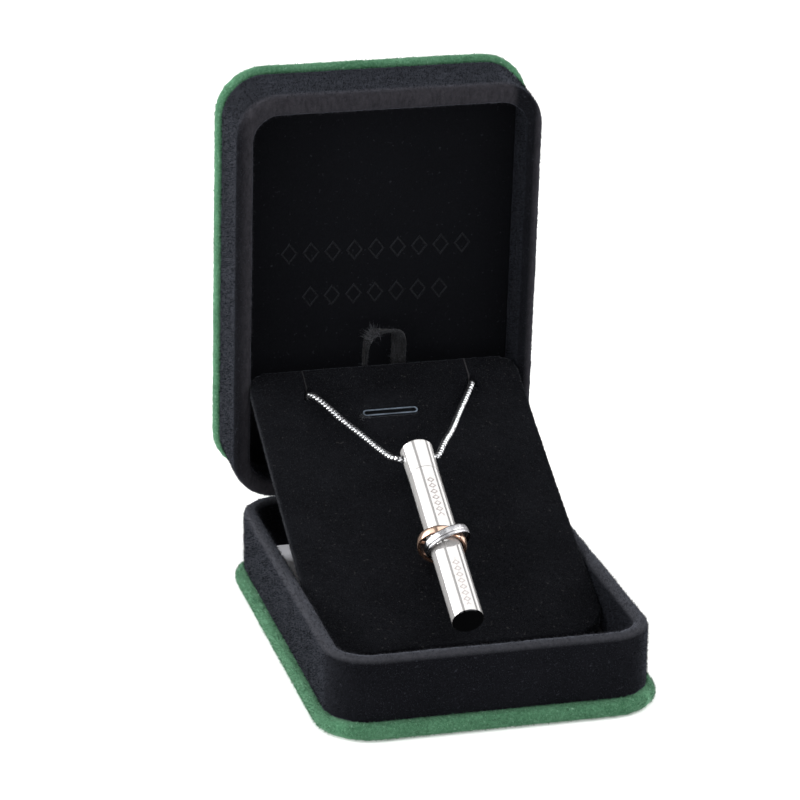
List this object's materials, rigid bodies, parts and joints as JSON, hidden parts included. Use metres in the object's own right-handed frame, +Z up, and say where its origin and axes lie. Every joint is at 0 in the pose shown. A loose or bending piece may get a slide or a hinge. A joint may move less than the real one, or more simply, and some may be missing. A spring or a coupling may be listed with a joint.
{
  "type": "keepsake urn pendant on a snake chain, in an open jewellery box with a pad",
  "caption": "Steel tube keepsake urn pendant with two linked rings on a round snake chain, lying on the velvet pad of an open hinged jewellery box.",
  "frame": {"origin": "centre of the box's flat underside", "axes": "+X across the box to the viewer's right, +Y from the front edge to the hinge, +Z up"},
  "size_m": [0.07, 0.1151, 0.1096],
  "materials": {
    "green_velvet": "short pile, bright where it is seen edge on",
    "black_velvet": "short pile, bluish grey where it is seen edge on",
    "lid_lining": "smooth dark lining",
    "pad_velvet": "short pile with fine pale flecks",
    "liner_card": "matt pale flocked card",
    "ribbon": "satin ribbon",
    "clear_trim": "thin clear film edge",
    "urn_steel": "mirror polished stainless steel",
    "chain_steel": "polished round snake chain",
    "rose_gold": "polished rose gold plating",
    "silver_band": "polished band with a diamond cut centre",
    "pin_steel": "plain steel pin"
  },
  "bodies": {
    "root": {"base_plate": "green_velvet", "base_shell": "black_velvet", "base_floor": "liner_card", "hinge_pin": "pin_steel"},
    "lid": {"lid_shell": "black_velvet", "lid_panel": "lid_lining", "lid_plate": "green_velvet"},
    "insert": {"pad_card": "pad_velvet", "slot_trim": "clear_trim", "ribbon_loop": "ribbon", "urn_cap": "urn_steel", "chain": "chain_steel", "chain_clasp": "chain_steel"},
    "urn": {"urn_tube": "urn_steel", "ring_rose": "rose_gold", "ring_silver": "silver_band"}
  },
  "joints": [
    {"name": "lid_hinge", "type": "hinge", "parent": "root", "child": "lid", "pos_m": [0, 0.046, 0.015], "axis": [1, 0, 0], "range_deg": [0, 85], "deforming": ["ribbon_loop"]},
    {"name": "pad_tilt", "type": "hinge", "parent": "root", "child": "insert", "pos_m": [0, -0.02338, 0.05125], "axis": [1, 0, 0], "range_deg": [-25.8, 0]},
    {"name": "urn_turn", "type": "hinge", "parent": "insert", "child": "urn", "pos_m": [0.00002, 0.01868, 0.03472], "axis": [0.0122, 0.9092, 0.4163], "range_deg": [0, 360]}
  ],
  "couplings": [
    {"joint": "pad_tilt", "follows": "lid_hinge", "ratio": -0.30313}
  ]
}
